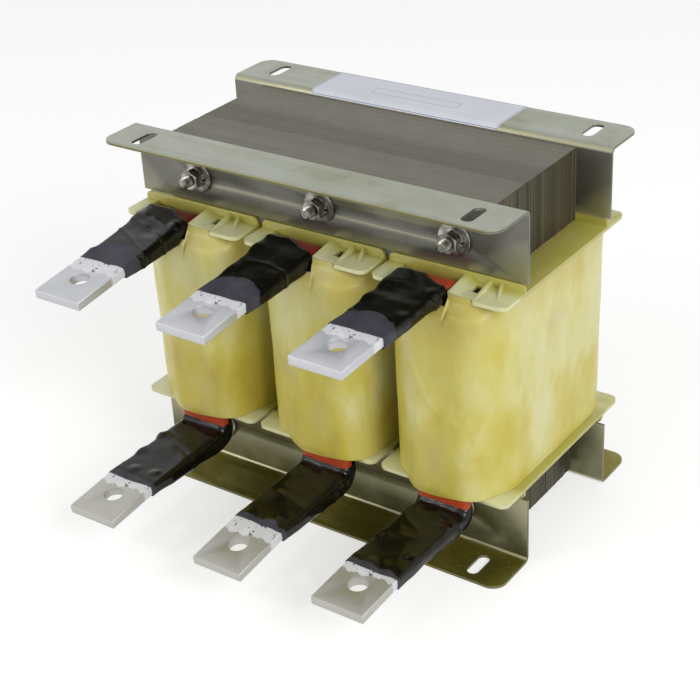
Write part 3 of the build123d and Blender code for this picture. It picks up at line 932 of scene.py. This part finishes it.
# The overhang grows over the first length and ends over the second, right of a place left of the lead
droop_grow = 2.5 * MM
droop_from = 6 * MM
droop_end = 22 * MM
tuck = 0.9 * MM
next_coil = 300.0
fold_height = 0.4 * MM
fold_reach = 1.6
# Folds in the paper of each front, as points across and up in millimetres
paper_folds = {
    "left": [(-39, 149), (-47, 138), (-60, 110), (-65, 88), (-63, 76), (-55, 66)],
    "middle": [(9, 100), (8, 88), (7.5, 66)],
    "right": [(59.4, 126.4), (68.6, 115.3), (75.7, 100.9), (83.6, 92.9), (96.7, 87.8)],
}


def fold_rise(phase, spot):
    """Height share of the nearest fold at a spot on the front of a wrap."""
    here = Vector((spot.x / MM, spot.z / MM))
    corners = [Vector(corner) for corner in paper_folds[phase]]
    nearest = 100.0
    for start, end in zip(corners, corners[1:]):
        share = geometry.intersect_point_line(here, start, end)[1]
        closest = start.lerp(end, min(1.0, max(0.0, share)))
        nearest = min(nearest, (here - closest).length)
    return eased(1 - nearest / fold_reach)


def make_wrap(phase, number):
    """The paper round one coil."""
    low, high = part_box(f"{phase}_coil_wrap")
    winding_low, winding_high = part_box(f"{phase}_foil_winding")
    sleeve_low, sleeve_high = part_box(f"{phase}_lower_fibre_sleeve")
    former_low, former_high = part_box(f"{phase}_coil_former")
    lead_x = (sleeve_low.x + sleeve_high.x) / 2
    left = winding_low.x - side_play
    right = winding_high.x + side_play
    front = winding_low.y - paper_play
    back = winding_high.y + 2 * paper_play
    foil_circles = [
        (Vector((x, y)), winding_corner)
        for x in (left + winding_corner, right - winding_corner)
        for y in (front + winding_corner, back - winding_corner)
    ]
    lead_circles = [
        (Vector((lead_x + side * lead_half_front, low.y - lead_cover + lead_corner)), lead_corner)
        for side in (-1, 1)
    ]
    round_lead = outline_points(foil_circles + lead_circles, wrap_columns)
    round_foil = outline_points(foil_circles, wrap_columns)
    centre, forward, up = lead_axes(phase, "upper")
    tube_low, tube_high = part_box(f"{phase}_upper_shrink_sleeve")
    rail_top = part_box("core_yoke_stack")[0].z - notch_play
    plate_left = former_high.x - plate_width

    def top_of(point):
        """Height of the paper's top edge at a point of the outline."""
        if point.y > front + front_strip:
            return high.z
        if tube_low.x - notch_play < point.x < tube_high.x + notch_play:
            travel = (point.y - centre.y) / forward.y
            return centre.z + forward.z * travel - under_lead / up.z
        if tube_high.x < point.x < plate_left:
            return rail_top
        return high.z

    def place_of(column, row):
        column %= wrap_columns
        wide = round_lead[0][column]
        slim = round_foil[0][column]
        droop = eased((former_low.y - wide.y) / droop_grow)
        droop *= 1 - eased((wide.x - lead_x + droop_from) / droop_end)
        bottom = low.z - overhang * droop
        z = bottom + (top_of(slim) - bottom) * row / wrap_rows
        fade = eased((z - fade_start) / (fade_end - fade_start))
        flat = wide.lerp(slim, fade)
        way = round_lead[1][column].lerp(round_foil[1][column], fade)
        share = (z - low.z) / (high.z - low.z)
        seat = Vector((flat.x, flat.y, z)) / MM + Vector((number * next_coil, 0, 0))
        ripple = noise.noise(seat / 32) * 0.40 + noise.noise(seat / 12) * 0.12
        outward = ripple * MM - drawn_in * (1 - share) * abs(way.x) ** 3
        outward -= tuck * droop * eased((low.z + 1.5 * MM - z) / (4.5 * MM))
        if way.y < -0.5:
            outward += fold_height * fold_rise(phase, Vector((flat.x, flat.y, z)))
        return Vector((flat.x + way.x * outward, flat.y + way.y * outward, z))

    wrap = rolled_sheet(wrap_columns, wrap_rows, place_of)
    use_modifier(wrap, "SOLIDIFY", thickness=paper_thickness, offset=-1)
    smooth(wrap, 50)
    hand_over(wrap, f"{phase}_paper_wrap", f"{phase}_coil_wrap", wrap_paper)


for number, phase in enumerate(phase_names):
    make_wrap(phase, number)

# %% [markdown]
# ## Aluminium leads
# The leads are flat bars of soft aluminium, sheared to length, drilled and bent. Their faces are matt, with
# fine lines from the rolling mill. Next to the sleeve, white residue is left from when the sleeve was
# shrunk and dipped. Every lead slopes a little, so its material works in the lead's own directions: across,
# along and up from the middle of the terminal hole, kept in an attribute of the mesh.

# %% The lead's own directions
def write_lead_place(piece, phase, level):
    """Stores where each point lies across, along and above the lead, in metres."""
    centre, forward, up = lead_axes(phase, level)
    places = []
    for vertex in piece.data.vertices:
        offset = vertex.co - centre
        places += (offset.x, offset.dot(forward), offset.dot(up))
    keep_on_points(piece, "lead_place", "FLOAT_VECTOR", places)


# %% The way of a lead from its hole back into its coil
lead_bend = 6.6 * MM
lead_sag = {"upper": 0.0, "lower": 5.0 * MM}
sag_start = 19.0 * MM
sleeve_half = 3.6 * MM
leads = [(phase, level) for level in ("upper", "lower") for phase in phase_names]
# Distance from each terminal hole back to where the lead starts to bend
bend_starts = {}
for phase, level in leads:
    centre, forward, up = lead_axes(phase, level)
    leg_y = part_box(f"{phase}_{level}_fibre_sleeve")[1].y - sleeve_half
    bend_starts[phase, level] = (leg_y - lead_bend - centre.y) / -forward.y


def hang(phase, level, travel):
    """How far the hidden part of a lead hangs below its straight line."""
    share = (travel - sag_start) / (bend_starts[phase, level] - sag_start)
    return lead_sag[level] * min(1.0, max(0.0, share))


def lead_station(phase, level, travel):
    """Point, backward direction and top side of a lead at a distance behind its hole."""
    centre, forward, up = lead_axes(phase, level)
    start = bend_starts[phase, level]
    if travel <= start:
        return centre - forward * travel - up * hang(phase, level, travel), -forward, up
    way = 1 if level == "lower" else -1
    whole_turn = pi / 2 - way * asin(-forward.z)
    angle = min((travel - start) / lead_bend, whole_turn)
    point = centre - forward * start - up * lead_sag[level]
    point += (up * way * (1 - cos(angle)) - forward * sin(angle)) * lead_bend
    back = up * way * sin(angle) - forward * cos(angle)
    top = up * cos(angle) + forward * way * sin(angle)
    return point + back * (travel - start - lead_bend * angle), back, top


# %% Finish of the bars
lead_aluminium, tree, shader = new_material("rolled_aluminium_bar")
place = add_node(tree, "TexCoord").outputs["Object"]
height = add_node(tree, "SeparateXYZ", {0: place}).outputs["Z"]
lead_place = add_node(tree, "Attribute", {"attribute_name": "lead_place"}).outputs["Vector"]
lead_axis = add_node(tree, "SeparateXYZ", {0: lead_place})
stretched = add_node(tree, "Mapping", {"Vector": lead_place, "Scale": (1.0, 0.05, 1.0)})
lines = add_node(tree, "TexNoise", {"Vector": stretched, "Scale": per_metre(0.6), "Detail": 3.0})
face_colour = add_node(tree, "ValToRGB", {"Fac": lines, "stops": [(0.3, "#bdbec2"), (0.7, "#c9cace")]})
# The lower bars are tinted beige
is_low = add_node(tree, "MapRange", {"Value": height, "From Min": 0.09, "From Max": 0.06, "To Max": 0.5})
# White residue next to the sleeve, with a ragged edge, and black smudges in it
ragged = add_node(tree, "TexNoise", {
    "Vector": lead_place, "Scale": per_metre(7), "Detail": 6.0, "Roughness": 0.65})
reach = add_node(tree, "Math", {
    "operation": "MULTIPLY_ADD", 0: ragged, 1: 14 * MM, 2: lead_axis.outputs["Y"]})
residue = add_node(tree, "MapRange", {
    "Value": reach, "From Min": 0.4 * MM, "From Max": -0.6 * MM, "To Max": 0.85})
smudge_noise = add_node(tree, "TexNoise", {"Vector": lead_place, "Scale": per_metre(3), "Detail": 4.0})
smudge_spot = add_node(tree, "MapRange", {"Value": smudge_noise, "From Min": 0.62, "From Max": 0.66})
smudge = add_node(tree, "Math", {"operation": "MULTIPLY", 0: smudge_spot, 1: residue})
for mask, colour in ((is_low, "#aaa793"), (residue, "#e4e5ea"), (smudge, "#3a3a3e")):
    face_colour = add_node(tree, "Mix", {"data_type": "RGBA", 0: mask, 6: face_colour, 7: colour})
metal = add_node(tree, "MapRange", {"Value": residue, "To Min": 0.8, "To Max": 0.05})
rough = add_node(tree, "MapRange", {"Value": lines, "To Min": 0.4, "To Max": 0.55})
set_up(shader, {"Base Color": face_colour, "Metallic": metal, "Roughness": rough})

# %% Sheared bars
burr_radius = 0.3 * MM
narrow_from = 24.0 * MM
hidden_width = 14 / 15
for phase, level in leads:
    bar = cad_copy(f"{phase}_{level}_terminal_bar")
    round_edges(bar, burr_radius, 2, 50)
    # Inside the tube the bar is set a little narrower and lower, so that nothing of it comes through
    centre, forward, up = lead_axes(phase, level)
    open_edit(bar)
    for cut in (sag_start, narrow_from):
        bpy.ops.mesh.select_all(action="SELECT")
        bpy.ops.mesh.bisect(plane_co=centre - forward * cut, plane_no=forward)
    close_edit()
    for vertex in bar.data.vertices:
        travel = (centre - vertex.co).dot(forward)
        if travel > narrow_from - 0.1 * MM:
            vertex.co.x = centre.x + (vertex.co.x - centre.x) * hidden_width
        vertex.co -= up * hang(phase, level, travel)
    smooth(bar)
    write_lead_place(bar, phase, level)
    hand_over(bar, f"{phase}_{level}_bar", f"{phase}_{level}_terminal_bar", lead_aluminium)

# %% [markdown]
# ## Red fibre sleeves
# A sleeve of red vulcanised fibre guards each lead where it bends out of the coil. It shows as a narrow
# strip with a fine grain, glossy from the varnish. Each piece carries its own tone, from maroon at the upper
# left to orange at the lower ones.

# %% Finish of the fibre sleeves
red_tones = {("left", "upper"): 0.0, ("middle", "upper"): 0.3, ("right", "upper"): 0.8,
             ("left", "lower"): 0.9, ("middle", "lower"): 0.9, ("right", "lower"): 1.0}
red_fibre, tree, shader = new_material("red_vulcanised_fibre")
place = add_node(tree, "TexCoord").outputs["Object"]
tone = add_node(tree, "Attribute", {"attribute_name": "red_tone"}).outputs["Fac"]
red = add_node(tree, "ValToRGB", {
    "Fac": tone, "stops": [(0.0, "#641a14"), (0.3, "#82241b"), (0.8, "#a63e18"), (1.0, "#b5451c")]})
grain = add_node(tree, "TexNoise", {"Vector": place, "Scale": per_metre(1.6), "Detail": 5.0})
worn = add_node(tree, "MapRange", {"Value": grain, "From Min": 0.5, "From Max": 0.8, "To Max": 0.5})
grained = add_node(tree, "Mix", {"data_type": "RGBA", 0: worn, 6: red, 7: "#6e2510"})
bump = add_node(tree, "Bump", {"Height": grain, "Strength": 0.5, "Distance": 0.3 * MM})
set_up(shader, {
    "Base Color": grained, "Normal": bump, "Roughness": 0.5, "Specular IOR Level": 0.3, "Coat Weight": 0.15,
    "Coat Roughness": 0.25})

# %% Six red sleeves, rolled round the bends
red_columns = 96
red_rows = 48
red_wall = 0.5 * MM
red_lead_in = 6.0 * MM
red_leg = 8.0 * MM
red_half_width = {"upper": 16.1 * MM, "lower": 15.0 * MM}
red_half_height = 3.5 * MM
red_corner = {"upper": 2.2 * MM, "lower": 3.0 * MM}


def make_red_sleeve(phase, level):
    """A flat tube of fibre from just before a lead's bend to inside the coil."""
    corner = red_corner[level]
    first = bend_starts[phase, level] - red_lead_in
    length = red_lead_in + pi / 2 * lead_bend + red_leg
    points = outline_points([
        (Vector((x * (red_half_width[level] - corner), z * (red_half_height - corner))), corner)
        for x in (-1, 1) for z in (-1, 1)
    ], red_columns)[0]

    def place_of(column, row):
        spot = points[column % red_columns]
        point, back, top = lead_station(phase, level, first + length * row / red_rows)
        return point + Vector((spot.x, 0, 0)) + top * spot.y

    sleeve = rolled_sheet(red_columns, red_rows, place_of)
    use_modifier(sleeve, "SOLIDIFY", thickness=red_wall, offset=-1)
    smooth(sleeve, 50)
    keep_on_points(sleeve, "red_tone", "FLOAT", [red_tones[phase, level]] * len(sleeve.data.vertices))
    hand_over(sleeve, f"{phase}_{level}_red_sleeve", f"{phase}_{level}_fibre_sleeve", red_fibre)


for phase, level in leads:
    make_red_sleeve(phase, level)

# %% [markdown]
# ## Black shrink sleeves
# Black heat shrink tube grips each bar and its red sleeve. It was heated by hand, so it lies in soft folds,
# thick and round over the red sleeve and tight at the front. Most of it was dipped in varnish and is glossy;
# the front, which stayed above the bath, is matt, and its bluish grey colour is a painted reflection of a
# lamp. The tube is again a rolled grid, from the coil end to the front end, over a section that changes on
# the way. An attribute keeps how matt each point is and where the painted reflection lies.

# %% Finish of the shrink sleeves
black_shrink, tree, shader = new_material("varnished_polyolefin_shrink_tube")
lead_place = add_node(tree, "Attribute", {"attribute_name": "lead_place"}).outputs["Vector"]
dull = add_node(tree, "Attribute", {"attribute_name": "dull"}).outputs["Fac"]
dirt = add_node(tree, "TexNoise", {"Vector": lead_place, "Scale": per_metre(8), "Detail": 4.0})
glossy_black = add_node(tree, "ValToRGB", {
    "Fac": dirt, "stops": [(0.4, "#09090a"), (0.65, "#131108"), (0.8, "#1f1b0c")]})
# The bluish grey of the front is a painted reflection of a lamp
painted_sheen_grey = add_node(tree, "ValToRGB", {"Fac": dirt, "stops": [(0.35, "#33333b"), (0.7, "#43434d")]})
black = add_node(tree, "Mix", {"data_type": "RGBA", 0: dull, 6: glossy_black, 7: painted_sheen_grey})
rough = add_node(tree, "MapRange", {"Value": dull, "To Min": 0.14, "To Max": 0.6})
set_up(shader, {"Base Color": black, "Roughness": rough, "Specular IOR Level": 0.28})

# %% The section of a tube, station by station
# Each row: distance behind the hole, then left, right, top, bottom, upper and lower corner radius, in mm
tube_stations = {
    "upper": [(10, 15.5, 15.7, 3.0, 3.2, 1.3, 1.0), (30, 15.3, 16.2, 2.9, 4.4, 2.6, 1.4),
              (50, 15.5, 16.5, 3.2, 5.2, 3.0, 1.8), (64, 16.6, 17.0, 4.2, 5.8, 3.2, 2.4),
              (80, 16.6, 17.0, 4.4, 6.0, 3.2, 2.4)],
    "lower": [(10, 15.5, 15.7, 3.0, 3.2, 1.3, 1.0), (30, 15.3, 16.0, 2.9, 4.4, 2.6, 1.4),
              (50, 15.5, 16.0, 3.2, 5.8, 3.4, 2.2), (66, 15.9, 16.2, 3.9, 7.2, 4.4, 3.0),
              (73, 15.8, 16.0, 4.1, 7.4, 4.6, 3.4), (86, 15.4, 15.4, 4.1, 5.5, 4.2, 3.4)],
}
extra_depth = {("left", "upper"): 1.0, ("middle", "upper"): 0.2, ("right", "upper"): -1.4,
               ("left", "lower"): 0.3, ("middle", "lower"): 0.3, ("right", "lower"): -1.8}


def tube_outline(phase, level, travel):
    """Points and normals of a tube's section at a distance behind the hole."""
    rows = tube_stations[level]
    here = min(max(travel / MM, rows[0][0]), rows[-1][0] - 0.001)
    number = max(i for i in range(len(rows)) if rows[i][0] <= here)
    start, end = rows[number], rows[number + 1]
    share = eased((here - start[0]) / (end[0] - start[0]))
    left, right, top, bottom, high_corner, low_corner = (
        (a + (b - a) * share) * MM for a, b in zip(start[1:], end[1:]))
    bottom += extra_depth[phase, level] * MM * eased((here - 14) / 30)
    circles = [
        (Vector((high_corner - left, top - high_corner)), high_corner),
        (Vector((right - high_corner, top - high_corner)), high_corner),
        (Vector((low_corner - left, low_corner - bottom)), low_corner),
        (Vector((right - low_corner, low_corner - bottom)), low_corner),
    ]
    return outline_points(circles, tube_columns)


# %% Six shrunk tubes
tube_columns = 120
tube_rows = 110
tube_wall = 0.7 * MM
tube_front = {("left", "upper"): 17.0, ("middle", "upper"): 14.5, ("right", "upper"): 14.5,
              ("left", "lower"): 13.0, ("middle", "lower"): 17.0, ("right", "lower"): 11.5}
upper_back = 74.0 * MM
lower_leg = 0.2 * MM
upper_skew = 7.0 * MM
dull_and_sheen_length = {"upper": 18.0 * MM, "lower": 4.5 * MM}
dull_and_sheen_fade = 1.5 * MM
dull_and_sheen_ragged = 3 * MM
tube_half_width = 16 * MM
rim_ragged = 0.8 * MM
rim_share = 0.03
next_tube = 70.0
# Lumps and dents: across, distance behind the hole, rise and reach in mm
tube_lumps = {
    ("left", "upper"): [(-14, 24, 0.7, 6), (14, 66, 1.2, 7), (-12, 62, 0.8, 8), (4, 52, -0.5, 9)],
    ("middle", "upper"): [(-15, 60, 0.9, 7), (-14, 38, 0.8, 9), (15, 44, 0.5, 8), (2, 30, 0.4, 10)],
    ("right", "upper"): [(-15, 44, 1.1, 7), (15, 64, 0.9, 6), (-14, 58, 0.6, 7), (14, 36, 0.4, 7)],
    ("left", "lower"): [(-15, 38, 1.1, 7), (-15, 55, 1.2, 6), (-4, 22, 0.8, 5), (8, 24, 0.8, 5)],
    ("middle", "lower"): [(15, 70, 1.6, 6), (-10, 21, 0.8, 6), (6, 22, 0.7, 6), (-6, 40, 0.6, 8)],
    ("right", "lower"): [(-15, 38, 1.4, 5), (11, 30, 0.9, 4), (11, 60, 0.8, 4), (0, 17, 0.7, 8)],
}


def make_tube(phase, level, number):
    """The shrink tube on one lead."""
    front = tube_front[phase, level] * MM
    bend = bend_starts[phase, level]
    back_end = upper_back if level == "upper" else bend + 0.9 * pi / 2 * lead_bend + lower_leg
    length = back_end - front
    skew = upper_skew if level == "upper" else 0.0
    rings = [
        tube_outline(phase, level, back_end - length * row / tube_rows) for row in range(tube_rows + 1)
    ]
    lumps = tube_lumps[phase, level]

    def place_of(column, row):
        points, normals = rings[row]
        spot = points[column % tube_columns]
        normal = normals[column % tube_columns]
        share = row / tube_rows
        travel = back_end - length * share
        seat = Vector((spot.x / MM, travel / MM, spot.y / MM + number * next_tube))
        # Two long soft folds run askew over each tube, among low lumps
        fold = 1 - abs(noise.noise(Vector((seat.x / 40 + seat.y / 60, seat.y / 26, seat.z / 30)))) * 5.0
        outward = max(0.0, fold) ** 2 * 0.45 + noise.noise(seat / 15) * 0.45 + noise.noise(seat / 6) * 0.12
        outward *= 0.35 + 0.65 * eased((travel / MM - 16) / 16)
        for across, along, rise, reach in lumps:
            gap = Vector((spot.x / MM - across, travel / MM - along)).length / reach
            outward += rise * eased(1 - gap) * (1 if spot.y > -2 * MM else 0.3)
        # The rim at the coil end is drawn in
        outward -= 0.5 * eased((rim_share - share) / rim_share)
        ragged = noise.noise(Vector((seat.x / 8, number * 9.0, seat.z / 8))) * rim_ragged * share ** 6
        ragged += noise.noise(Vector((seat.x / 6, number * 5.0, seat.z / 6))) * rim_ragged * (1 - share) ** 8
        shift = skew * eased((spot.x + 4 * MM) / (20 * MM)) * (1 - share) ** 2
        point, back, top = lead_station(phase, level, travel - shift - ragged)
        flat = spot + normal * outward * MM
        return point + Vector((flat.x, 0, 0)) + top * flat.y

    tube = rolled_sheet(tube_columns, tube_rows, place_of)
    use_modifier(tube, "SOLIDIFY", thickness=tube_wall, offset=-1)
    smooth(tube, 60)
    write_lead_place(tube, phase, level)
    # How matt each point is, which also places the painted reflection
    dull_and_sheen_shares = []
    centre, forward, up = lead_axes(phase, level)
    for vertex in tube.data.vertices:
        offset = vertex.co - centre
        seat = Vector((offset.x, offset.dot(forward), number * 0.05)) / MM
        edge = dull_and_sheen_length[level] * (1 - 0.45 * (offset.x / tube_half_width) ** 2)
        edge += noise.noise(seat / 7) * dull_and_sheen_ragged
        dull_and_sheen_shares.append(eased((offset.dot(forward) + front + edge) / dull_and_sheen_fade))
    keep_on_points(tube, "dull", "FLOAT", dull_and_sheen_shares)
    hand_over(tube, f"{phase}_{level}_shrink_tube", f"{phase}_{level}_shrink_sleeve",
              black_shrink)


for number, (phase, level) in enumerate(leads):
    make_tube(phase, level, number)

# %% [markdown]
# ## Rating label
# A white film label lies on the upper back clamp and turns down over its bend. Its front corners are
# rounded, and it carries only a thin blue border and an empty frame. The label starts as a plane, laid out
# flat: its corners are bevelled, it is cut into strips where it has to bend, and each point is laid on the
# clamp. An attribute keeps the flat layout, so that the printed lines follow the bend.

# %% Label laid over the bend
label_low, label_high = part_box("rating_label")
film_thickness = 0.2 * MM
bend_radius = 3.5 * MM
bend_turn = radians(75)
label_length = label_high.x - label_low.x
label_middle = (label_low.x + label_high.x) / 2
bend_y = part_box("upper_back_clamp")[0].y + bend_radius
flat_depth = label_high.y - bend_y
arc_depth = bend_radius * bend_turn
label_depth = flat_depth + arc_depth
bend_strips = 10
label_corner = 2.5 * MM
bpy.ops.mesh.primitive_plane_add(size=1, location=(label_middle, -label_depth / 2, 0))
label = bpy.context.object
label.scale = (label_length, label_depth, 1)
settle(label)
open_edit(label)
select_where("verts", lambda vert: vert.co.y < -label_depth + 0.1 * MM)
bpy.ops.mesh.bevel(offset=label_corner, segments=6, affect="VERTICES")
for strip in range(bend_strips + 1):
    bpy.ops.mesh.select_all(action="SELECT")
    bpy.ops.mesh.bisect(plane_co=(0, -flat_depth - arc_depth * strip / (bend_strips + 1), 0),
                        plane_no=(0, 1, 0))
close_edit()
layout = []
for vertex in label.data.vertices:
    layout += (vertex.co.x - label_middle, vertex.co.y + label_depth / 2, 0)
    gone = -vertex.co.y
    if gone <= flat_depth:
        vertex.co = (vertex.co.x, label_high.y - gone, label_high.z - film_thickness)
    else:
        turned = (gone - flat_depth) / bend_radius
        vertex.co = (vertex.co.x, bend_y - sin(turned) * bend_radius,
                     label_high.z - film_thickness - bend_radius + cos(turned) * bend_radius)
keep_on_points(label, "label_place", "FLOAT_VECTOR", layout)
open_edit(label)
face_outwards()
close_edit()
if sum(face.normal.z for face in label.data.polygons) < 0:
    label.data.flip_normals()
use_modifier(label, "SOLIDIFY", thickness=film_thickness, offset=1)
smooth(label, 30)

# %% Finish of the label
label_film, tree, shader = new_material("white_polyester_label_film")
layout = add_node(tree, "Attribute", {"attribute_name": "label_place"}).outputs["Vector"]
spread = add_node(tree, "VectorMath", {"operation": "ABSOLUTE", 0: layout})
from_centre = add_node(tree, "SeparateXYZ", {0: spread})
handling = add_node(tree, "TexNoise", {"Vector": layout, "Scale": per_metre(20), "Detail": 3.0})
print_colour = add_node(tree, "ValToRGB", {"Fac": handling, "stops": [(0.3, "#d3d5df"), (0.7, "#dcdde6")]})
# The border runs 0.7 mm inside the edge, and the frame is a small box in the middle
border_inset = 0.7 * MM
line_width = 0.3 * MM
frame_half_width = 27 * MM
frame_half_depth = 3.6 * MM
for half_across, half_deep in (
    (label_length / 2 - border_inset, label_depth / 2 - border_inset),
    (frame_half_width, frame_half_depth),
):
    past_side = add_node(tree, "Math", {
        "operation": "SUBTRACT", 0: from_centre.outputs["X"], 1: half_across})
    past_front = add_node(tree, "Math", {
        "operation": "SUBTRACT", 0: from_centre.outputs["Y"], 1: half_deep})
    outside = add_node(tree, "Math", {"operation": "MAXIMUM", 0: past_side, 1: past_front})
    on_line = add_node(tree, "Math", {"operation": "COMPARE", 0: outside, 1: 0.0, 2: line_width / 2})
    print_colour = add_node(tree, "Mix", {"data_type": "RGBA", 0: on_line, 6: print_colour, 7: "#5c6f9c"})
set_up(shader, {"Base Color": print_colour, "Roughness": 0.35, "Specular IOR Level": 0.3})
hand_over(label, "label", "rating_label", label_film)
